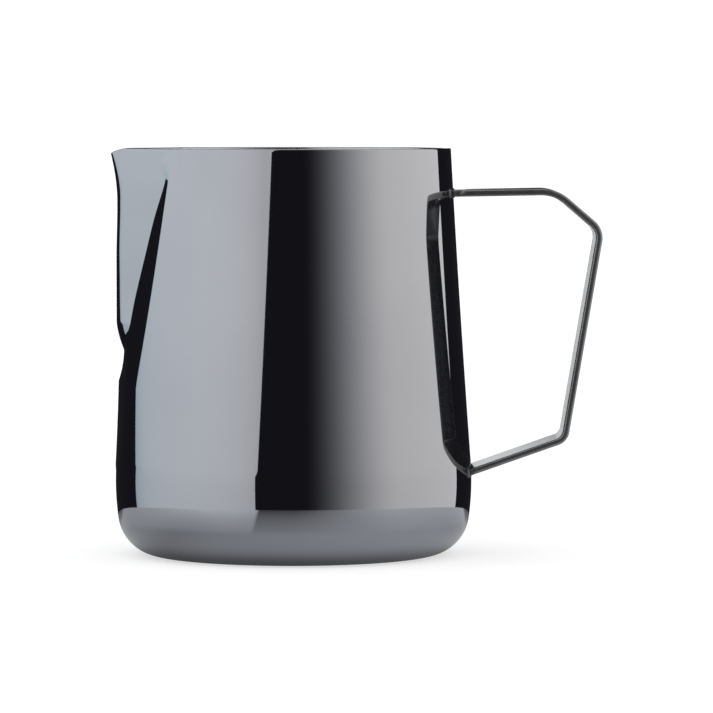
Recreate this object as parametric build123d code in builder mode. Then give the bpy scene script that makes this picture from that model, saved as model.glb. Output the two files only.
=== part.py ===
from build123d import *
from math import acos, cos, radians, sin
import os

# A milk frothing pitcher: one drawn and pressed steel cup with a V spout, and a flat strap handle
# welded to its wall at both ends. Millimetres, +Z up, the handle towards +X and the spout towards
# -X. The origin is on the cup's axis, in the plane that the pitcher stands on.

# Cup: a cone that flares slowly down to a wide, soft base corner.
HEIGHT = 110.0
RIM_RADIUS = 42.55
WAIST = (45.05, 68.0)       # radius and height of a point on the cone, which is a little hollow
SHOULDER = (48.0, 25.5)     # where the cone ends and turns in slowly
CORNER = (47.5, 10.0)       # where it turns in quickly
HEEL = (43.86, 2.97)        # where the last curve starts, down to the foot
FOOT_RADIUS = 36.5          # outer edge of the flat ring that the cup stands on
FOOT_WIDTH = 3.5
PANEL_RISE = 1.2            # the middle of the bottom stands this far off the table
PANEL_SLOPE = 2.4           # run of the slope between the ring and the raised panel
WALL = 0.8                  # sheet thickness

# Spout: a V pressed out of the wall, with a rounded upright ridge and a flat facet on each side.
# Its level sections, from the notch up: height, distance from the axis to the ridge's front, to
# the apex where the flanks would meet if the ridge were sharp, and square to a flank.
SPOUT_SECTIONS = (
    (53.9, 45.3, 47.78, 39.36),     # the notch, just inside the wall
    (61.3, 47.92, 50.4, 41.52),     # the ridge runs in below here
    (80.0, 47.92, 50.4, 41.52),
    (89.0, 47.74, 50.4, 41.52),
    (96.0, 47.67, 50.4, 41.77),     # the lip leans out above here
    (102.0, 48.13, 50.44, 41.97),
    (106.0, 48.67, 50.5, 41.97),
    (110.0, 49.77, 50.6, 41.97),
)
FLANK_END = 42.2            # a flank runs back to this many degrees off the spout's direction
FACET_AZIMUTH = 20.5        # a facet faces this many degrees off the spout's direction
FACET_REACH = 41.67         # distance from the axis to a facet, at FACET_LEVEL
FACET_LEVEL = 90.0
FACET_LEAN = 0.108          # a facet leans in by this much for each millimetre of height

# Pouring lip: its tip is cut a little below the rim.
LIP_DROP = 1.3
LIP_DROP_RUN = 4.5

# Nose: a soft swelling that carries the ridge's line on down the wall, below the notch.
NOSE_START = (-45.3, 53.9)
NOSE_TOP = (-47.4, 47.0)
NOSE_MIDDLE = (-47.6, 40.0)
NOSE_END = (-48.1, 24.0)
NOSE_HALF_ANGLE = 75.0
NOSE_LENGTH = 7.0

# Handle: a flat strap bent into an open, angular loop. These are corners of its outer face.
STRAP_WIDTH = 20.0
STRAP_THICKNESS = 1.8
STRAP_EDGE = 0.6            # rounding along the strap's edges
STRAP_TOP = (36.0, 98.6)    # both ends start inside the cup, and are cut back to its wall
STRAP_SHOULDER = (70.9, 99.2)
STRAP_ELBOW = (83.65, 88.2)
STRAP_HEEL = (73.9, 31.0)
STRAP_END = (38.0, 18.4)
STRAP_BENDS = (11.5, 6.0, 4.3)

# Welds: one bead round each end of the strap, cut round at a radius just outside the wall.
BEAD = 0.7
UPPER_BEAD_REACH = 43.9
LOWER_BEAD_REACH = 48.8
BEAD_ROUND = 0.4
HANDLE_MIDDLE_HEIGHT = 60.0

TRIM_REACH = 60.0           # half the size of the block that cuts the rim
ABOVE = 3.0                 # how far the cup's forms run past the rim before it is cut
INSIDE_X = -30.0            # the nose is filled back to here, inside the cup
EDGE_TOLERANCE = 0.01

os.makedirs("parts", exist_ok=True)


def add_nose(inset):
    """Add both flanks of the nose: its line, drawn in by inset, is swept back along each flank."""
    shift = inset / sin(radians(NOSE_HALF_ANGLE))
    points = [(x + shift, z) for x, z in (NOSE_END, NOSE_MIDDLE, NOSE_TOP, NOSE_START)]
    foot_z = points[0][1]
    head_z = points[-1][1]
    with BuildSketch(Plane.XZ) as nose:
        with BuildLine():
            Polyline((INSIDE_X, foot_z), *points, (INSIDE_X, head_z), close=True)
        make_face()
    for side in (1, -1):
        along = (cos(radians(NOSE_HALF_ANGLE)), side * sin(radians(NOSE_HALF_ANGLE)), 0)
        extrude(nose.sketch, amount=NOSE_LENGTH, dir=along)


def add_spout(head, inset):
    """Add the spout, drawn in by inset, up to the height head."""
    rim_section = SPOUT_SECTIONS[-1][1:]
    sections = []
    for height, front, apex, reach in (*SPOUT_SECTIONS, (head, *rim_section)):
        facing = acos(reach / apex)
        ridge_round = (apex - front) / (1 / cos(facing) - 1)
        centre = apex - ridge_round / cos(facing)
        radius = ridge_round - inset
        near_x = -centre - radius * cos(facing)
        near_y = radius * sin(facing)
        far_reach = (reach - inset) / cos(radians(FLANK_END) - facing)
        far_x = -far_reach * cos(radians(FLANK_END))
        far_y = far_reach * sin(radians(FLANK_END))
        with BuildSketch(Plane.XY.offset(height)) as section:
            with BuildLine():
                ThreePointArc((near_x, -near_y), (-centre - radius, 0), (near_x, near_y))
                Polyline((near_x, near_y), (far_x, far_y), (far_x, -far_y), (near_x, -near_y))
            make_face()
        sections.append(section.sketch)
    loft(sections=sections, ruled=True)


def cup_form(inset):
    """The cup as a solid, drawn in by inset all round; an inset of zero gives its outer face."""
    with BuildLine() as skin:
        # Down the cone, round the heel and along the foot to the middle of the raised bottom.
        cone = ThreePointArc((RIM_RADIUS, HEIGHT), WAIST, SHOULDER)
        Line((cone @ 0) - (cone % 0) * ABOVE, cone @ 0)
        turn = TangentArc(cone @ 1, CORNER, tangent=cone % 1)
        heel = TangentArc(turn @ 1, HEEL, tangent=turn % 1)
        foot = TangentArc(heel @ 1, (FOOT_RADIUS, 0), tangent=heel % 1)
        Polyline(
            foot @ 1,
            (FOOT_RADIUS - FOOT_WIDTH, 0),
            (FOOT_RADIUS - FOOT_WIDTH - PANEL_SLOPE, PANEL_RISE),
            (0, PANEL_RISE),
        )
        if inset:
            offset(amount=inset, side=Side.RIGHT, closed=False, mode=Mode.REPLACE)
    middle = skin.vertices().sort_by(Axis.X)[0]
    top = skin.vertices().sort_by(Axis.Y)[-1]

    with BuildPart() as form:
        with BuildSketch(Plane.XZ):
            with BuildLine():
                add(skin.line)
                Polyline((top.X, top.Y), (0, top.Y), (middle.X, middle.Y))
            make_face()
        revolve(axis=Axis.Z)

        # The two facets are cut flat.
        for side in (1, -1):
            across = side * sin(radians(FACET_AZIMUTH))
            ahead = -cos(radians(FACET_AZIMUTH))
            facet = Plane(
                origin=(FACET_REACH * ahead, FACET_REACH * across, FACET_LEVEL),
                z_dir=(ahead, across, FACET_LEAN),
            )
            split(bisect_by=facet.offset(-inset), keep=Keep.BOTTOM)

        # The spout, its lip and the nose below it stand out of them.
        add_spout(top.Y, inset)
        add_nose(inset)
    return form.part


lip_x = -SPOUT_SECTIONS[-1][1]
outer_form = cup_form(0)
inner_form = cup_form(WALL)

# The sheet between the two forms is the cup; its rim is cut level, and lower at the lip.
with BuildPart() as jug_body:
    add(outer_form)
    add(inner_form, mode=Mode.SUBTRACT)
    with BuildSketch(Plane.XZ):
        with BuildLine():
            Polyline(
                (TRIM_REACH, HEIGHT),
                (lip_x + LIP_DROP_RUN, HEIGHT),
                (lip_x, HEIGHT - LIP_DROP),
                (-TRIM_REACH, HEIGHT - LIP_DROP),
                (-TRIM_REACH, HEIGHT + 2 * ABOVE),
                (TRIM_REACH, HEIGHT + 2 * ABOVE),
                close=True,
            )
        make_face()
    extrude(amount=TRIM_REACH, both=True, mode=Mode.SUBTRACT)
jug_body.part.label = "jug_body"
export_step(jug_body.part, "parts/jug_body.step")


def strap_form(growth):
    """The bent strap as a solid, from inside the cup to inside the cup, grown all round."""
    with BuildPart() as form:
        with BuildSketch(Plane.XZ):
            with BuildLine():
                FilletPolyline(
                    STRAP_TOP, STRAP_SHOULDER, STRAP_ELBOW, STRAP_HEEL, STRAP_END, radius=STRAP_BENDS
                )
                offset(amount=STRAP_THICKNESS, side=Side.RIGHT)
            make_face()
            if growth:
                offset(amount=growth, kind=Kind.INTERSECTION)
        extrude(amount=STRAP_WIDTH / 2 + growth, both=True)
        reach = STRAP_WIDTH / 2 + growth
        long_edges = edges().filter_by(lambda e: abs(abs(e.center().Y) - reach) < EDGE_TOLERANCE)
        fillet(long_edges, radius=STRAP_EDGE + growth)
    return form.part


strap = strap_form(0)
bead_section = strap_form(BEAD)

# The strap's ends are cut to the curve of the wall that they are welded to.
with BuildPart() as handle_strap:
    add(strap)
    add(outer_form, mode=Mode.SUBTRACT)
handle_strap.part.label = "handle_strap"
export_step(handle_strap.part, "parts/handle_strap.step")


def weld_bead(half, reach):
    """The bead on one half of the handle: a collar on the strap, out to a radius of reach."""
    with BuildPart() as bead:
        add(bead_section)
        split(bisect_by=Plane.XY.offset(HANDLE_MIDDLE_HEIGHT), keep=half)
        Cylinder(reach, 2 * HEIGHT, mode=Mode.INTERSECT)
        toe = faces().sort_by(Axis.X)[-1].outer_wire().edges()
        fillet(toe, radius=BEAD_ROUND)
        add(outer_form, mode=Mode.SUBTRACT)
        add(strap, mode=Mode.SUBTRACT)
    return bead.part


with BuildPart() as upper_weld:
    add(weld_bead(Keep.TOP, UPPER_BEAD_REACH))
upper_weld.part.label = "upper_weld"
export_step(upper_weld.part, "parts/upper_weld.step")

with BuildPart() as lower_weld:
    add(weld_bead(Keep.BOTTOM, LOWER_BEAD_REACH))
lower_weld.part.label = "lower_weld"
export_step(lower_weld.part, "parts/lower_weld.step")
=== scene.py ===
import math

import bpy
import numpy as np
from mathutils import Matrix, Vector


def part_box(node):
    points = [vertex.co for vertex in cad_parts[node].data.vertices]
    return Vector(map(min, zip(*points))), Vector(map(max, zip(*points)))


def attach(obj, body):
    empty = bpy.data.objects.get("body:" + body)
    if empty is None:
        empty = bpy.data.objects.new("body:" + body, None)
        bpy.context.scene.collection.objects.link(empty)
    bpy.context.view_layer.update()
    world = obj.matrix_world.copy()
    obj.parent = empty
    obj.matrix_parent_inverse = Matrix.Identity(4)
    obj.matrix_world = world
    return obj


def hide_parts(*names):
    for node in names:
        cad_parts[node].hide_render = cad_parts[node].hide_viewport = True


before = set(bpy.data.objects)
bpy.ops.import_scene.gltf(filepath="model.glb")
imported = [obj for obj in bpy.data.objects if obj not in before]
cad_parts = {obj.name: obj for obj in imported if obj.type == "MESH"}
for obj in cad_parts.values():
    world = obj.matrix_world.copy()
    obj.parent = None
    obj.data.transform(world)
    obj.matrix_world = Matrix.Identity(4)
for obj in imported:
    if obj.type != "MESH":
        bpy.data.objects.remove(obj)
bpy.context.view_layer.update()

# The milk frothing pitcher. Metres, +Z up, the handle towards +X and the spout towards -X, with the
# origin on the cup's axis at table level. The cup and the strap have the CAD part's sizes. The weld
# beads are smaller, and the spout's form is finer: its facets turn a little under the rim, its
# flanks run back further, its lip flares along a curve, and its ridge runs in along another.

MM = 0.001

# ---------------------------------------------------------------------------------- cup's shape
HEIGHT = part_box("jug_body")[1].z
RIM_RADIUS = 42.55 * MM
WAIST = (45.05 * MM, 68.0 * MM)
SHOULDER = (48.0 * MM, 25.5 * MM)
CORNER = (47.5 * MM, 10.0 * MM)
HEEL = (43.86 * MM, 2.97 * MM)
FOOT_RADIUS = 36.5 * MM
RING_RADIUS = 33.0 * MM
PANEL_RADIUS = 30.6 * MM
PANEL_RISE = 1.2 * MM
WALL = 0.8 * MM
RIM_ROUND = WALL / 2

# Spout: azimuths are counted from the spout's direction, -X.
RIDGE_REACH = 47.92 * MM    # the rounded ridge's front, which draws in a little above its middle
RIDGE_WAIST = 0.25 * MM
WAIST_FROM = 80.0 * MM
WAIST_RUN = 14.0 * MM
RIDGE_FOOT = 63.2 * MM
RIDGE_BLUNT = 0.9 * MM       # its rounding grows towards its foot
BLUNT_FROM = 74.0 * MM
BLUNT_RUN = 13.0 * MM
NOTCH_REACH = 45.3 * MM
NOTCH_HEIGHT = 53.9 * MM
FLANK_APEX = 50.4 * MM      # where the two flanks would meet if the ridge were sharp
FLANK_REACH = 41.52 * MM    # from the cup's axis square to a flank
FLANK_END = math.radians(46.0)
FLANK_SWELL = 0.45 * MM
SWELL_FROM = 89.0 * MM
SWELL_RUN = 13.0 * MM
FACET_AZIMUTH = math.radians(20.5)
FACET_REACH = 41.67 * MM
FACET_LEVEL = 90.0 * MM
FACET_LEAN = 0.108
FACET_TWIST = math.radians(9.0)
TWIST_FROM = 100.5 * MM
TWIST_RUN = 6.0 * MM
LIP_BREAK = 96.0 * MM
LIP_CURVE = 1.8             # how late the lip's flare comes: 1 is a straight lean
LIP_FLARE = 2.1 * MM
APEX_FLARE = 0.2 * MM
LIP_DROP = 1.3 * MM
LIP_DROP_RUN = 4.5 * MM
LIP_DROP_CURVE = 1.5
RUN_IN_CURVE = 1.55
NOSE_AZIMUTH = math.radians(15.0)
NOSE_POINT = 0.35 * MM      # how far the nose's two planes would meet beyond its rounding
NOSE_HEIGHTS = (20.0, 24.0, 40.0, 47.0, 53.9, 56.0)     # its line down the wall, in millimetres
NOSE_REACHES = (47.0, 48.1, 47.6, 47.4, 45.3, 44.0)
CREASE_ROUND = 0.1 * MM     # rounding where the facets, the spout and the nose meet the wall
SPOUT_ROUND = 0.15 * MM
NOSE_ROUND = 0.8 * MM
SPOUT_SPAN = math.radians(50)
SWELL_FOOT = 16 * MM        # below here the cup is quite round
SWELL_FOOT_RUN = 8 * MM

# ------------------------------------------------------------------------------- handle's shape
STRAP_WIDTH = 20.0 * MM
STRAP_THICKNESS = 1.8 * MM
STRAP_EDGE = 0.6 * MM
STRAP_CORNERS = ((36.0, 98.6), (70.9, 99.2), (83.65, 88.2), (73.9, 31.0), (38.0, 18.4))
STRAP_BENDS = (11.5, 6.0, 4.3)
STRAP_SINK = 0.3 * MM
CORNER_POINTS = 5           # points round each corner of the strap's section
FLAT_POINTS = 12            # and along each of its flat sides
END_SHARES = (0.36, 0.7)    # places of the extra points along the strap's end legs
BEAD = 0.45 * MM
BEAD_STEPS = 160            # points round the bead
BEAD_ROWS = 7               # and across it
BEAD_RIPPLE = 1.3 * MM      # length of one ripple
RIPPLE_DEPTH = 0.06         # as a share of the bead's size
BEAD_TUCK = 0.7             # where its hidden edges lie, as a share of its size
BEAD_FULLNESS = 0.35        # 0 is a hollow quarter circle, 1 a full one

# ------------------------------------------------------------------------------------- camera
LENS = 247.27
SENSOR = 36.0
CAMERA_PLACE = (17.04 * MM, -1325.1 * MM, 120.0 * MM)
CAMERA_TILT = 0.05012       # radians below level

# ---------------------------------------------------------------------------- light round it
# Angles are in degrees round from the camera's direction. Each side's light counts them on its own
# side, and the table's painted reflection and the flag count them as positive on the left.
TENT_RADIUS = 0.6
WALL_RADIUS = 1.03 * TENT_RADIUS
TENT_LOW = -1.2
TENT_HIGH = 1.1
DARK = (0.0155, 0.0142, 0.0187)
CEILING = 0.8

# The left light's edges lean: the angle at the foot, how far it turns, and the height where the
# lean starts and over which it runs.
LEFT_FRONT = (23.0, -8.6, 45 * MM, 120 * MM)
LEFT_BACK = (118.6, 18.5, 21 * MM, 45 * MM)
LEFT_FULL = 1.11
LEFT_DIM = 0.26             # how much darker it is at its front edge
LEFT_DIM_FROM = 20.0
LEFT_DIM_RUN = 13.0
LEFT_COLOURS = ((1.0, 1.0, 0.985), (0.955, 1.0, 1.01))
LEFT_BACK_LOSS = (0.38, 0.28, 0.24)
LEFT_BACK_RUN = 12.0

# The right light fades in from the camera's side, and still grows a little towards the back.
RIGHT_START = 6.0
RIGHT_END = 127.4
RIGHT_RUN = 66.0
RIGHT_CURVE = 1.15
RIGHT_FULL = 1.03
RIGHT_GAIN = 0.11
RIGHT_GAIN_FROM = 65.0
RIGHT_GAIN_RUN = 36.0
RIGHT_COLOURS = ((1.0, 1.0, 1.0), (1.03, 1.0, 0.95))

# Both sides are dimmest low down, and grow by LEVEL_GAIN from LEVEL_FOOT on, over LEVEL_RUN.
LEVEL_LOW = 0.85
LEVEL_GAIN = 0.17
LEVEL_FOOT = -60 * MM
LEVEL_RUN = 195 * MM

# The painted reflection of the table near the cup: an even grey, with painted light on the right and
# painted shade on the left.
TABLE_RADIUS = 124 * MM
TABLE_COLOUR = (0.98, 1.0, 1.02)
TABLE_GREY = 0.46
TABLE_PAINTED_LIGHT = (0.10, -55.0, 40.0)    # strength, angle and width
TABLE_PAINTED_SHADE = (-0.09, 53.0, 18.0)
# The table's reflection carries a painted shadow under the cup's foot.
CONTACT_SHADE = 0.85                # how dark it gets under the cup
CONTACT_REACH = 43.4 * MM
CONTACT_SOFT = 1.8 * MM
TABLE_FADE = (62.0 * MM, 130.0 * MM)    # where the near table gives way to the far one

# Further out the sheet has a painted reflection of a glossy table: both sides' light, and the dark
# between them.
FAR_DARK = 0.06
FAR_RIGHT = 0.74
FAR_RIGHT_RUN = 60.0
FAR_RIGHT_CURVE = 0.8
FAR_RIGHT_LOSS = (0.10, 75.0, 49.0)     # how much it loses towards the back, from where, over what
FAR_LEFT_EDGE = 17.0
FAR_LEFT_SHARP = 1.5
FAR_LEFT = 0.85
FAR_LEFT_GAIN = (0.15, 18.5, 11.5)
FAR_LEFT_LOSS = (0.50, 46.0, 76.0)
FAR_BACK = 0.1
FAR_BACK_EDGE = 123.0
FAR_BACK_RUN = 7.0

FLAG_RADIUS = 0.2
FLAG_ANGLES = (127, 162)
FLAG_LEVELS = (-30 * MM, 320 * MM)
BACK_LIGHT = (1.18, 1.20, 1.22)
BACK_SIDES = (-110 * MM, 57 * MM)
BACK_LEVELS = (-150 * MM, 420 * MM)

FLOOR_RADIUS = 6.0
FLOOR_GREY = 0.45
FLOOR_GLOW = 0.61
WORLD_LIGHT = 1.1


# ------------------------------------------------------------------------------------- camera
def add_camera():
    """A long lens a little above the rim, looking slightly down."""
    data = bpy.data.cameras.new("camera")
    data.sensor_width = SENSOR
    data.lens = LENS
    data.clip_start = 0.05
    data.clip_end = 50.0
    camera = bpy.data.objects.new("camera", data)
    camera.location = CAMERA_PLACE
    camera.rotation_euler = (math.pi / 2 - CAMERA_TILT, 0, 0)
    bpy.context.collection.objects.link(camera)
    bpy.context.scene.camera = camera


# --------------------------------------------------------------------------------- mesh helpers
def new_mesh(name, points, faces, smooth=True):
    """A mesh object from points and faces."""
    mesh = bpy.data.meshes.new(name)
    mesh.from_pydata([tuple(p) for p in points], [], faces)
    mesh.validate()
    mesh.polygons.foreach_set("use_smooth", [smooth] * len(mesh.polygons))
    mesh.update()
    piece = bpy.data.objects.new(name, mesh)
    bpy.context.collection.objects.link(piece)
    return piece


def grid_faces(rows, columns, closed_columns=True, closed_rows=False):
    """Quads between neighbouring rows and columns of a grid of points."""
    faces = []
    for i in range(rows if closed_rows else rows - 1):
        low, high = i * columns, (i + 1) % rows * columns
        for j in range(columns if closed_columns else columns - 1):
            k = (j + 1) % columns
            faces.append((low + j, low + k, high + k, high + j))
    return faces


def smooth_max(a, b, width):
    """The larger of two values, rounded off where they are within width of each other."""
    overlap = np.maximum(width - np.abs(a - b), 0.0) / width
    return np.maximum(a, b) + overlap**2 * width / 4


def smooth_min(a, b, width):
    return -smooth_max(-a, -b, width)


def smooth_step(x):
    x = np.clip(x, 0.0, 1.0)
    return x * x * (3 - 2 * x)


# -------------------------------------------------------------------------------------- cup
CONE = np.polyfit([HEIGHT, WAIST[1], SHOULDER[1]], [RIM_RADIUS, WAIST[0], SHOULDER[0]], 2)


def tangent_arc(start, tangent, end, count):
    """Points along the arc from start to end that leaves start along tangent, and its last tangent."""
    start, end = np.array(start), np.array(end)
    tangent = np.array(tangent) / np.linalg.norm(tangent)
    normal = np.array((-tangent[1], tangent[0]))
    chord = end - start
    radius = chord @ chord / (2 * (chord @ normal))
    turn = 2 * math.atan2(chord @ normal, chord @ tangent)
    angles = np.linspace(0, turn, count)
    points = start + radius * (np.outer(np.sin(angles), tangent) + np.outer(1 - np.cos(angles), normal))
    return points, math.cos(turn) * tangent + math.sin(turn) * normal


def rounded_wedge(azimuth, apex, facing, front, inset):
    """Polar radius of two planes that meet at apex, rounded off so that only front is left."""
    radius = (apex - front) / (1 / np.cos(facing) - 1)
    centre = apex - radius / np.cos(facing)
    tangent = np.arctan2(radius * np.sin(facing), centre + radius * np.cos(facing))
    plane = (apex * np.cos(facing) - inset) / np.cos(azimuth - facing)
    inside = np.minimum(azimuth, tangent)
    reach = (radius - inset) ** 2 - (centre * np.sin(inside)) ** 2
    arc = centre * np.cos(inside) + np.sqrt(np.maximum(reach, 0.0))
    return np.where(azimuth < tangent, arc, plane)


def reach_at(azimuth, height, inset):
    """Radius of the cup's wall at an azimuth and a height, drawn in by inset."""
    a = np.abs(azimuth)
    cone = np.polyval(CONE, height)
    # The facet beside the spout cuts the cone along a crease, about which it turns near the rim.
    facet_reach = FACET_REACH + FACET_LEAN * (FACET_LEVEL - height)
    crease = FACET_AZIMUTH + np.arccos(np.minimum(facet_reach / cone, 1.0))
    twist = FACET_TWIST * smooth_step((height - TWIST_FROM) / TWIST_RUN)
    facet_reach = np.where(twist > 0, cone * np.cos(crease - FACET_AZIMUTH - twist), facet_reach)
    facet = (facet_reach - inset) / np.maximum(np.cos(a - FACET_AZIMUTH - twist), 0.2)
    wall = smooth_min(cone - inset, facet, CREASE_ROUND)

    # The ridge stands upright, flares at the lip, and runs in to the notch at its foot.
    lean_out = np.clip((height - LIP_BREAK) / (HEIGHT - LIP_BREAK), 0.0, 1.2) ** LIP_CURVE
    run_in = np.clip((RIDGE_FOOT - height) / (RIDGE_FOOT - NOTCH_HEIGHT), 0.0, 2.0)
    run_in = (RIDGE_REACH - NOTCH_REACH) * run_in**RUN_IN_CURVE
    blunt = RIDGE_BLUNT * np.clip((BLUNT_FROM - height) / BLUNT_RUN, 0.0, 1.3) ** 2
    apex = FLANK_APEX + APEX_FLARE * lean_out + blunt
    flank = FLANK_REACH + FLANK_SWELL * smooth_step((height - SWELL_FROM) / SWELL_RUN)
    facing = np.arccos(flank / apex)
    waist = RIDGE_WAIST * smooth_step((height - WAIST_FROM) / WAIST_RUN)
    front = RIDGE_REACH - waist + LIP_FLARE * lean_out
    near = np.minimum(a, FLANK_END)
    spout = rounded_wedge(near, apex - run_in, facing, front - run_in, inset)
    spout = np.where(a < FLANK_END, spout, 0.0)

    # Below the notch a soft nose carries the ridge's line down the wall.
    nose_line = np.interp(height / MM, NOSE_HEIGHTS, NOSE_REACHES) * MM
    near = np.minimum(a, NOSE_AZIMUTH)
    nose = rounded_wedge(near, nose_line + NOSE_POINT, NOSE_AZIMUTH, nose_line, inset)
    nose = np.where(a < NOSE_AZIMUTH, nose, 0.0)

    wall = smooth_max(wall, spout, SPOUT_ROUND)
    return smooth_max(wall, nose, NOSE_ROUND)


def profile_rows():
    """The cup's outer section from just under the rim down to the inside of the foot's corner."""
    levels = np.concatenate((
        np.linspace(HEIGHT - RIM_ROUND, 98 * MM, 36)[:-1],
        np.linspace(98 * MM, 44 * MM, 150)[:-1],
        np.linspace(44 * MM, SHOULDER[1], 30),
    ))
    cone = np.column_stack((np.polyval(CONE, levels), levels))
    slope = np.polyval(np.polyder(CONE), SHOULDER[1])
    turn, tangent = tangent_arc(SHOULDER, (-slope, -1.0), CORNER, 24)
    heel, tangent = tangent_arc(CORNER, tangent, HEEL, 22)
    foot, tangent = tangent_arc(HEEL, tangent, (FOOT_RADIUS, 0.0), 16)
    return np.vstack((cone, turn[1:], heel[1:], foot[1:]))


def outward_normals(rows):
    """Unit normals of a section that runs downwards and then inwards."""
    along = np.gradient(rows, axis=0)
    normals = np.column_stack((-along[:, 1], along[:, 0]))
    return normals / np.linalg.norm(normals, axis=1)[:, None]


def rim_height(azimuth, radius):
    """The rim is level, and falls away over the last few millimetres of the lip."""
    x = radius * np.cos(azimuth)
    lip = RIDGE_REACH - RIDGE_WAIST + LIP_FLARE
    share = np.clip((x - (lip - LIP_DROP_RUN)) / LIP_DROP_RUN, 0.0, 1.0)
    return HEIGHT - LIP_DROP * share**LIP_DROP_CURVE


def cup_columns():
    """Azimuths round the cup, close together over the spout."""
    spout = np.linspace(-SPOUT_SPAN, SPOUT_SPAN, 301)
    rest = np.linspace(SPOUT_SPAN, 2 * math.pi - SPOUT_SPAN, 170)[1:-1]
    return np.concatenate((spout, rest))


def ring_points(azimuths, radii, heights):
    return np.column_stack((-radii * np.cos(azimuths), radii * np.sin(azimuths), heights))


def make_cup():
    azimuths = cup_columns()
    wrapped = (azimuths + math.pi) % (2 * math.pi) - math.pi
    rows = profile_rows()
    normals = outward_normals(rows)
    rim = rim_height(wrapped, reach_at(wrapped, HEIGHT, 0.0))

    def skin(inset):
        """Rings of one face of the sheet, from the rim down to the foot."""
        rings = []
        for (radius, height), (out, up) in zip(rows, normals):
            level = height - inset * up
            levels = np.full_like(azimuths, level)
            if level > LIP_BREAK:
                share = (level - LIP_BREAK) / (HEIGHT - LIP_BREAK)
                levels = LIP_BREAK + share * (rim - LIP_BREAK)
            swell = reach_at(wrapped, levels, inset) - (np.polyval(CONE, levels) - inset)
            fade = smooth_step((level - SWELL_FOOT) / SWELL_FOOT_RUN)
            base = radius - inset * out
            if level > SHOULDER[1]:
                base = np.polyval(CONE, levels) - inset
            rings.append(ring_points(azimuths, base + swell * fade, levels))
        return rings

    outer = skin(0.0)
    inner = skin(WALL)[::3]

    # The rim's edge is half round.
    top_outer, top_inner = outer[0], inner[0]
    middle = (top_outer + top_inner) / 2
    half = (top_outer - top_inner) / 2
    edge = []
    for angle in np.linspace(math.pi, 0, 9)[1:-1]:
        ring = middle + half * math.cos(angle)
        ring[:, 2] += RIM_ROUND * math.sin(angle)
        edge.append(ring)

    def bottom(lift):
        """Rings of one face of the bottom, from the standing ring to the middle of the panel."""
        flat = np.zeros_like(azimuths)
        rings = [ring_points(azimuths, flat + RING_RADIUS, flat + lift)]
        for share in (1, 0.5, 0.02):
            rings.append(ring_points(azimuths, flat + PANEL_RADIUS * share, flat + PANEL_RISE + lift))
        return rings

    bottom_outer = bottom(0.0)
    bottom_inner = bottom(WALL)
    rings = bottom_inner[::-1] + inner[::-1] + edge + outer + bottom_outer
    columns = len(azimuths)
    faces = grid_faces(len(rings), columns)
    faces.append(tuple(range(columns)))
    last = (len(rings) - 1) * columns
    faces.append(tuple(last + j for j in reversed(range(columns))))
    skin_mesh = new_mesh("jug_skin", np.vstack(rings), faces)
    inside = np.zeros(len(rings) * columns)
    inside[:(len(bottom_inner) + len(inner)) * columns] = 1.0
    skin_mesh.data.attributes.new("inside", "FLOAT", "POINT").data.foreach_set("value", inside)
    return skin_mesh


# ------------------------------------------------------------------------------------- handle
def strap_line():
    """Points along the middle of the strap's outer face, with its bends rounded."""
    corners = [np.array(c) * MM for c in STRAP_CORNERS]
    points = [corners[0]]
    for before, corner, after, radius in zip(corners, corners[1:], corners[2:], STRAP_BENDS):
        come = (corner - before) / np.linalg.norm(corner - before)
        leave = (after - corner) / np.linalg.norm(after - corner)
        turn = math.acos(np.clip(come @ leave, -1, 1))
        cut = radius * MM * math.tan(turn / 2)
        arc, _ = tangent_arc(corner - come * cut, come, corner + leave * cut, 15)
        points.extend(arc)
    points.append(corners[-1])
    # A few more points on the end legs keep the shading even along them.
    shares = np.array(END_SHARES)[:, None]
    first = points[0] + shares * (points[1] - points[0])
    last = points[-2] + (1 - shares[::-1]) * (points[-1] - points[-2])
    return np.vstack((points[:1], first, points[1:-1], last, points[-1:]))


def strap_section():
    """The strap's rounded cross-section: (depth below the outer face, place across the width)."""
    half, edge = STRAP_WIDTH / 2, STRAP_EDGE
    flat = np.linspace(half - edge, edge - half, FLAT_POINTS + 2)[1:-1]
    corners = ((edge, half - edge, 0), (STRAP_THICKNESS - edge, half - edge, 1),
               (STRAP_THICKNESS - edge, edge - half, 2), (edge, edge - half, 3))
    section = []
    for depth, across, quarter in corners:
        for angle in np.linspace(0, math.pi / 2, CORNER_POINTS) + quarter * math.pi / 2:
            section.append((depth - edge * math.cos(angle), across + edge * math.sin(angle)))
        if quarter == 1:
            section.extend((STRAP_THICKNESS, place) for place in flat)
    section.extend((0.0, place) for place in reversed(flat))
    return np.array(section)


def wall_x(y, z):
    """How far out the cone's surface is, on the handle's side."""
    return np.sqrt(np.polyval(CONE, z) ** 2 - y**2)


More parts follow.
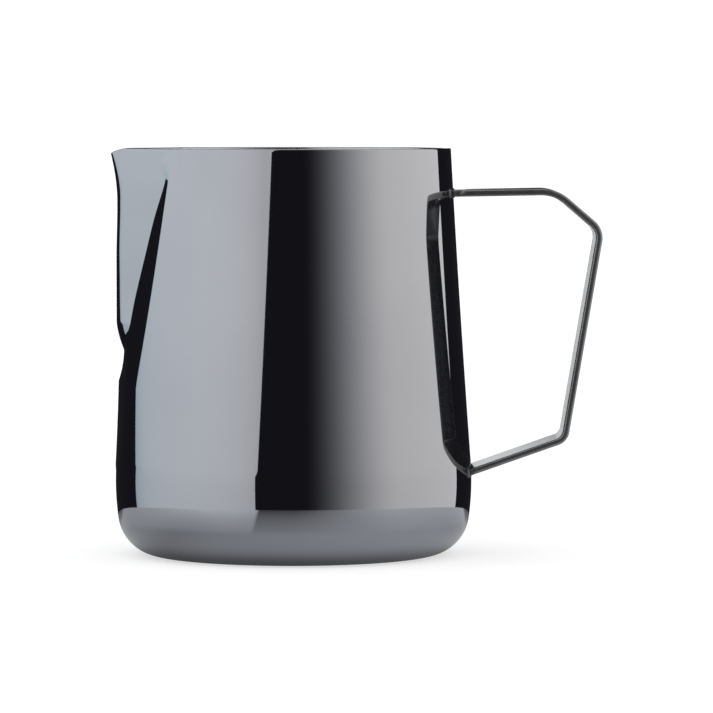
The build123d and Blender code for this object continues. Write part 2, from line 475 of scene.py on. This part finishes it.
def make_strap():
    """The strap, swept along its bent line, with its ends let into the wall."""
    line = strap_line()
    section = strap_section()
    legs = np.diff(line, axis=0)
    legs /= np.linalg.norm(legs, axis=1)[:, None]
    rings = []
    for i, point in enumerate(line):
        before = legs[max(i - 1, 0)]
        after = legs[min(i, len(legs) - 1)]
        along = (before + after) / np.linalg.norm(before + after)
        inward = np.array((along[1], -along[0]))
        miter = 1.0 / max(along @ after, 0.5)
        ring = [point + inward * depth * miter for depth, _ in section]
        rings.append([(x, across, z) for (x, z), (_, across) in zip(ring, section)])
    rings = np.array(rings)

    # Both ends follow the curve of the wall, just under its surface.
    for end, leg in ((0, legs[0]), (-1, -legs[-1])):
        for k, (x, y, z) in enumerate(rings[end]):
            for _ in range(4):
                step = (wall_x(y, z) - STRAP_SINK - x) / leg[0]
                x, z = x + step * leg[0], z + step * leg[1]
            rings[end][k] = (x, y, z)
    count = len(section)
    faces = grid_faces(len(rings), count)
    # Each end is closed by a row of quads across the thickness, so that it keeps the wall's curve.
    last = (len(rings) - 1) * count
    rungs = [((CORNER_POINTS - 1 - m) % count, CORNER_POINTS + m) for m in range(count // 2)]
    for (a, b), (c, d) in zip(rungs, rungs[1:]):
        faces.append((a, c, d, b))
        faces.append((last + a, last + b, last + d, last + c))
    return new_mesh("strap", rings.reshape(-1, 3), faces)


def make_weld(name, at_top):
    """The weld bead round one end of the strap: a slightly hollow fillet with faint ripples."""
    section = strap_section()
    line = strap_line()
    ends = (line[0], line[1]) if at_top else (line[-1], line[-2])
    leg = (ends[1] - ends[0]) / np.linalg.norm(ends[1] - ends[0])
    inward = np.array((leg[1], -leg[0])) * (1 if at_top else -1)
    # The strap's outline, resampled evenly, with its outward normals in the section's plane.
    closed = np.vstack((section, section[:1]))
    lengths = np.concatenate(([0], np.cumsum(np.linalg.norm(np.diff(closed, axis=0), axis=1))))
    places = np.linspace(0, lengths[-1], BEAD_STEPS + 1)[:-1]
    outline = np.column_stack([np.interp(places, lengths, closed[:, k]) for k in (0, 1)])
    along = np.roll(outline, -1, axis=0) - np.roll(outline, 1, axis=0)
    outward = np.column_stack((-along[:, 1], along[:, 0]))
    outward /= np.linalg.norm(outward, axis=1)[:, None]
    middle = np.array((STRAP_THICKNESS / 2, 0.0))
    outward *= np.sign(np.sum(outward * (outline - middle), axis=1))[:, None]

    def on_wall(depth, across):
        """The point of the wall that the strap's line at this depth and place runs into."""
        x, z = ends[0] + inward * depth
        for _ in range(4):
            step = (wall_x(across, z) - x) / leg[0]
            x, z = x + step * leg[0], z + step * leg[1]
        return np.array((x, across, z))

    forward = np.array((leg[0], 0.0, leg[1]))
    rings = []
    for angle in np.linspace(0, math.pi / 2, BEAD_ROWS):
        ring = []
        for k, (depth, across) in enumerate(outline):
            size = BEAD * (1 + RIPPLE_DEPTH * math.sin(2 * math.pi * places[k] / BEAD_RIPPLE))
            sine = math.sin(angle)
            cosine = math.cos(angle)
            away = size * (1 - BEAD_FULLNESS * sine - (1 - BEAD_FULLNESS) * (1 - cosine))
            rise = size * (1 - BEAD_FULLNESS * cosine - (1 - BEAD_FULLNESS) * (1 - sine))
            foot = on_wall(*(outline[k] + outward[k] * away))
            ring.append(foot + forward * rise)
        rings.append(ring)
    # Both edges are closed under the surface of the wall and of the strap.
    tuck = BEAD * BEAD_TUCK
    low_edge = [on_wall(*(o + n * tuck)) - forward * STRAP_SINK for o, n in zip(outline, outward)]
    high_edge = [on_wall(*(o - n * STRAP_SINK)) + forward * tuck for o, n in zip(outline, outward)]
    rings.insert(0, low_edge)
    rings.append(high_edge)
    faces = grid_faces(len(rings), BEAD_STEPS, closed_rows=True)
    return new_mesh(name, np.array(rings).reshape(-1, 3), faces)


# ------------------------------------------------------------------------------------ materials
def new_material(name):
    material = bpy.data.materials.new(name)
    material.use_nodes = True
    nodes = material.node_tree.nodes
    return material, nodes, material.node_tree.links, nodes["Principled BSDF"]


def mapped_noise(nodes, links, scale, stretch, detail=4.0, roughness=0.55):
    """Noise in the object's own coordinates, drawn out by stretch along each axis."""
    place = nodes.new("ShaderNodeTexCoord")
    mapping = nodes.new("ShaderNodeMapping")
    mapping.inputs["Scale"].default_value = stretch
    noise = nodes.new("ShaderNodeTexNoise")
    noise.inputs["Scale"].default_value = scale
    noise.inputs["Detail"].default_value = detail
    noise.inputs["Roughness"].default_value = roughness
    links.new(place.outputs["Object"], mapping.inputs["Vector"])
    links.new(mapping.outputs["Vector"], noise.inputs["Vector"])
    return noise


def spread(nodes, links, source, low, high):
    """A value that runs from low to high as the source's factor does from 0.3 to 0.7."""
    span = nodes.new("ShaderNodeMapRange")
    span.inputs["From Min"].default_value = 0.3
    span.inputs["From Max"].default_value = 0.7
    span.inputs["To Min"].default_value = low
    span.inputs["To Max"].default_value = high
    links.new(source.outputs["Fac"], span.inputs["Value"])
    return span.outputs["Result"]


def tint(nodes, links, source, low, high):
    """A colour between low and high, by the source's factor."""
    ramp = nodes.new("ShaderNodeValToRGB")
    ramp.color_ramp.elements[0].position = 0.3
    ramp.color_ramp.elements[0].color = (*low, 1)
    ramp.color_ramp.elements[1].position = 0.7
    ramp.color_ramp.elements[1].color = (*high, 1)
    links.new(source.outputs["Fac"], ramp.inputs["Fac"])
    return ramp.outputs["Color"]


def bump(nodes, links, shader, source, distance):
    node = nodes.new("ShaderNodeBump")
    node.inputs["Strength"].default_value = 1.0
    node.inputs["Distance"].default_value = distance
    links.new(source.outputs["Fac"], node.inputs["Height"])
    links.new(node.outputs["Normal"], shader.inputs["Normal"])


def mirror_black():
    """Mirror-polished steel under a dark, slightly blue coat; plainer satin steel inside."""
    material, nodes, links, shader = new_material("mirror_black_steel")
    shader.inputs["Metallic"].default_value = 1.0
    clouds = mapped_noise(nodes, links, 28.0, (1, 1, 1))
    polish = mapped_noise(nodes, links, 900.0, (1, 1, 0.05))
    satin = mapped_noise(nodes, links, 700.0, (1, 1, 0.08))
    inside = nodes.new("ShaderNodeAttribute")
    inside.attribute_name = "inside"
    finish = nodes.new("ShaderNodeMix")
    links.new(inside.outputs["Fac"], finish.inputs["Factor"])
    links.new(spread(nodes, links, polish, 0.02, 0.04), finish.inputs["A"])
    links.new(spread(nodes, links, satin, 0.26, 0.36), finish.inputs["B"])
    links.new(finish.outputs["Result"], shader.inputs["Roughness"])
    coat = nodes.new("ShaderNodeMixRGB")
    links.new(inside.outputs["Fac"], coat.inputs["Fac"])
    outside_tint = tint(nodes, links, clouds, (0.365, 0.375, 0.41), (0.385, 0.393, 0.425))
    inside_tint = tint(nodes, links, satin, (0.50, 0.50, 0.51), (0.56, 0.56, 0.57))
    links.new(outside_tint, coat.inputs["Color1"])
    links.new(inside_tint, coat.inputs["Color2"])
    links.new(coat.outputs["Color"], shader.inputs["Base Color"])
    return material


def satin_black(name, low, high, roughness):
    """The same coat over blasted steel: fine-grained, and partly matt."""
    material, nodes, links, shader = new_material(name)
    shader.inputs["Metallic"].default_value = 0.9
    clouds = mapped_noise(nodes, links, 60.0, (1, 1, 1))
    grain = mapped_noise(nodes, links, 2600.0, (1, 1, 1), detail=3.0)
    links.new(tint(nodes, links, clouds, low, high), shader.inputs["Base Color"])
    links.new(spread(nodes, links, grain, roughness - 0.05, roughness + 0.06), shader.inputs["Roughness"])
    bump(nodes, links, shader, grain, 0.014 * MM)
    return material


def pale_floor():
    material, nodes, links, shader = new_material("pale_floor")
    shader.inputs["Roughness"].default_value = 0.9
    shader.inputs["Specular IOR Level"].default_value = 0.0
    shader.inputs["Base Color"].default_value = (FLOOR_GREY, FLOOR_GREY, FLOOR_GREY, 1)
    shader.inputs["Emission Color"].default_value = (1, 1, 1, 1)
    shader.inputs["Emission Strength"].default_value = FLOOR_GLOW
    return material


# ----------------------------------------------------------------------------- floor and lights
def hide_from(stage_object, camera=False, glossy=False, diffuse=False, shadow=False):
    stage_object.visible_camera = not camera
    stage_object.visible_glossy = not glossy
    stage_object.visible_diffuse = not diffuse
    stage_object.visible_shadow = not shadow


def disc(name, radius, height, count=96):
    """A flat round sheet."""
    angles = np.linspace(0, 2 * math.pi, count, endpoint=False)
    rim = np.column_stack((radius * np.cos(angles), radius * np.sin(angles), np.full(count, height)))
    return new_mesh(name, rim, [tuple(range(count))], smooth=False)


def add_floor():
    """A wide pale floor, which the polished steel does not mirror."""
    floor = disc("floor", FLOOR_RADIUS, 0.0)
    floor.data.materials.append(pale_floor())
    hide_from(floor, glossy=True)


def glow_material():
    """Light of the colour painted on the mesh's points."""
    material = bpy.data.materials.new("glow")
    material.use_nodes = True
    nodes, links = material.node_tree.nodes, material.node_tree.links
    nodes.clear()
    paint = nodes.new("ShaderNodeVertexColor")
    paint.layer_name = "glow"
    emission = nodes.new("ShaderNodeEmission")
    emission.inputs["Strength"].default_value = 1.0
    output = nodes.new("ShaderNodeOutputMaterial")
    links.new(paint.outputs["Color"], emission.inputs["Color"])
    links.new(emission.outputs["Emission"], output.inputs["Surface"])
    return material


def add_glow(name, points, faces, colours, material):
    """A sheet of light that only reflections show."""
    sheet = new_mesh(name, points, faces)
    glow = sheet.data.color_attributes.new("glow", "FLOAT_COLOR", "POINT")
    glow.data.foreach_set("color", np.column_stack((colours, np.ones(len(colours)))).ravel())
    sheet.data.materials.append(material)
    hide_from(sheet, camera=True, diffuse=True, shadow=True)


def blend(pair, share):
    """Colours between the two of a pair."""
    share = np.clip(share, 0, 1)[:, None]
    return np.array(pair[0]) * (1 - share) + np.array(pair[1]) * share


def climb(value, step):
    """A change of a given amount, from a given value on, over a given run."""
    amount, start, run = step
    return amount * np.clip((value - start) / run, 0, 1)


def bell(angle, hump):
    """A soft hump of a given strength, place and width."""
    strength, middle, width = hump
    return strength * np.exp(-(((angle - middle) / width) ** 2))


def left_light(angle, back):
    """The left side's light, dimmer at its front edge and falling off towards its back edge."""
    ahead = np.maximum(angle - LEFT_DIM_FROM, 0)
    level = LEFT_FULL - LEFT_DIM * np.exp(-ahead / LEFT_DIM_RUN)
    loss = np.exp((angle - back) / LEFT_BACK_RUN)[:, None] * np.array(LEFT_BACK_LOSS)
    return blend(LEFT_COLOURS, (angle - 30) / 50) * level[:, None] * (1 - loss)


def right_light(angle, _):
    """The right side's light, which has no edge at the front."""
    level = RIGHT_FULL * smooth_step((angle - RIGHT_START) / RIGHT_RUN) ** RIGHT_CURVE
    level += climb(angle, (RIGHT_GAIN, RIGHT_GAIN_FROM, RIGHT_GAIN_RUN))
    return blend(RIGHT_COLOURS, (angle - 30) / 30) * level[:, None]


def add_side(name, start, end, light, side, material):
    """One bright side of the tent, between two edges whose angles depend on the height."""
    heights = np.concatenate((np.linspace(TENT_LOW, 0, 7)[:-1], np.linspace(0, 0.18, 37),
                              np.linspace(0.18, TENT_HIGH, 9)[1:]))
    shares = np.linspace(0, 1, 161)
    angles = np.array([start(h) + (end(h) - start(h)) * shares for h in heights])
    turns = np.radians(angles.ravel())
    levels = np.repeat(heights, len(shares))
    out, along = TENT_RADIUS * np.sin(turns), TENT_RADIUS * np.cos(turns)
    points = np.column_stack((-side * out, -along, levels))
    fade = LEVEL_LOW + climb(levels, (LEVEL_GAIN, LEVEL_FOOT, LEVEL_RUN))
    colours = light(angles.ravel(), np.repeat(angles[:, -1], len(shares))) * fade[:, None]
    faces = grid_faces(len(heights), len(shares), closed_columns=False)
    add_glow(name, points, faces, colours + np.array(DARK), material)


# Painted reflection of the table near the cup, with painted light on the right and painted shade on the
# left.
def near_table_reflection(angle):
    return TABLE_GREY + bell(angle, TABLE_PAINTED_LIGHT) + bell(angle, TABLE_PAINTED_SHADE)


def far_table_reflection(angle):
    """Painted reflection further out: the right side's light fades in, the left's starts at an edge, and
    the back is dark.
    """
    right = FAR_RIGHT * smooth_step(-angle / FAR_RIGHT_RUN) ** FAR_RIGHT_CURVE
    right = FAR_DARK + right - climb(-angle, FAR_RIGHT_LOSS)
    left = FAR_LEFT + climb(angle, FAR_LEFT_GAIN) - climb(angle, FAR_LEFT_LOSS)
    left = FAR_DARK + (left - FAR_DARK) * np.clip((angle - FAR_LEFT_EDGE) / FAR_LEFT_SHARP, 0, 1)
    level = np.where(angle < 0, right, left)
    back = smooth_step((np.abs(angle) - FAR_BACK_EDGE) / FAR_BACK_RUN)
    return level + (FAR_BACK - level) * back


def contact_shade(radius):
    """The share of its painted light that the table's reflection keeps this close to the cup's foot: a
    painted shadow.
    """
    return 1 - CONTACT_SHADE / (1 + math.exp((radius - CONTACT_REACH) / CONTACT_SOFT))


def add_table_top(material):
    """A glowing sheet, painted with the table's reflection for the polished steel to mirror: pale, with a
    painted shadow at the foot, and a painted glossy reflection further out.
    """
    radii = np.concatenate((np.linspace(30, 54, 25), np.linspace(56, TABLE_RADIUS / MM, 30))) * MM
    angles = np.linspace(-180, 180, 361)[:-1]
    turns = np.radians(np.tile(angles, len(radii)))
    out = np.repeat(radii, len(angles))
    below = np.full(len(out), -0.02 * MM)
    points = np.column_stack((-out * np.sin(turns), -out * np.cos(turns), below))
    near = near_table_reflection(angles)[:, None] * np.array(TABLE_COLOUR)
    far = far_table_reflection(angles)[:, None] * np.array(TABLE_COLOUR)
    colours = []
    for radius in radii:
        share = np.clip((radius - TABLE_FADE[0]) / (TABLE_FADE[1] - TABLE_FADE[0]), 0, 1)
        colours.append((near * (1 - share) + far * share) * contact_shade(radius))
    faces = grid_faces(len(radii), len(angles))
    # The sheet is painted with the table's reflection and a painted shadow under the cup.
    add_glow("painted_table_reflection", points, faces, np.vstack(colours), material)


def add_back_light(material):
    """A sheet of light behind, which the rim and the handle's inner faces mirror."""
    left, right = BACK_SIDES
    foot, head = BACK_LEVELS
    corners = ((left, foot), (right, foot), (right, head), (left, head))
    points = [(x, TENT_RADIUS, z) for x, z in corners]
    add_glow("back_light", points, [(0, 1, 2, 3)], np.tile(BACK_LIGHT, (4, 1)), material)


def round_wall(radius, levels, turns):
    """Points of an upright curved sheet, by the angle from the camera's direction."""
    return [(-radius * math.sin(t), -radius * math.cos(t), h) for h in levels for t in turns]


def add_flag(material):
    """A dark screen behind the cup, which keeps the left light off the handle's inner faces."""
    turns = np.radians(np.linspace(*FLAG_ANGLES, 12))
    points = round_wall(FLAG_RADIUS, FLAG_LEVELS, turns)
    faces = grid_faces(2, len(turns), closed_columns=False)
    add_glow("flag", points, faces, np.tile(DARK, (len(points), 1)), material)


def leaning(edge, height):
    """How far up its lean an edge of the left light is at a height: 0 at the foot."""
    return max((height - edge[2]) / edge[3], 0.0)


def left_front(height):
    return LEFT_FRONT[0] + LEFT_FRONT[1] * min(leaning(LEFT_FRONT, height), 1.2)


def left_back(height):
    return LEFT_BACK[0] + LEFT_BACK[1] * (1 - math.exp(-leaning(LEFT_BACK, height)))


def add_tent():
    """A round tent of light about the pitcher: bright sides, dark front and back, pale ceiling."""
    material = glow_material()
    add_side("left_light", left_front, left_back, left_light, 1, material)
    add_side("right_light", lambda h: RIGHT_START, lambda h: RIGHT_END, right_light, -1, material)

    turns = np.linspace(0, 2 * math.pi, 97)[:-1]
    circle = [(WALL_RADIUS * math.cos(t), WALL_RADIUS * math.sin(t)) for t in turns]
    wall = [(x, y, h) for h in (TENT_LOW, TENT_HIGH) for x, y in circle]
    dark = np.tile(DARK, (len(wall), 1))
    add_glow("dark_wall", wall, grid_faces(2, len(turns)), dark, material)
    lid = [(x, y, TENT_HIGH) for x, y in circle]
    pale = np.full((len(lid), 3), CEILING)
    add_glow("ceiling", lid, [tuple(range(len(lid)))], pale, material)
    add_back_light(material)
    add_flag(material)
    # A glowing sheet painted with the table's reflection, which only the steel mirrors.
    add_table_top(material)


def add_world():
    world = bpy.data.worlds.new("white_room")
    world.use_nodes = True
    world.node_tree.nodes["Background"].inputs["Color"].default_value = (1, 1, 1, 1)
    world.node_tree.nodes["Background"].inputs["Strength"].default_value = WORLD_LIGHT
    bpy.context.scene.world = world


# ------------------------------------------------------------------------------------ assembly
def place(piece, material, node):
    """Gives a piece its material, and lets it stand for a CAD node on the one rigid body."""
    piece.data.materials.append(material)
    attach(piece, "root")
    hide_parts(node)


add_camera()
add_floor()
add_tent()
add_world()
bpy.context.scene.view_settings.view_transform = "Standard"

place(make_cup(), mirror_black(), "jug_body")
place(make_strap(), satin_black("satin_black_steel", (0.20, 0.20, 0.205), (0.26, 0.26, 0.265), 0.27),
      "handle_strap")
weld_steel = satin_black("weld_steel", (0.10, 0.10, 0.105), (0.15, 0.15, 0.155), 0.36)
place(make_weld("bead_upper", True), weld_steel, "upper_weld")
place(make_weld("bead_lower", False), weld_steel, "lower_weld")
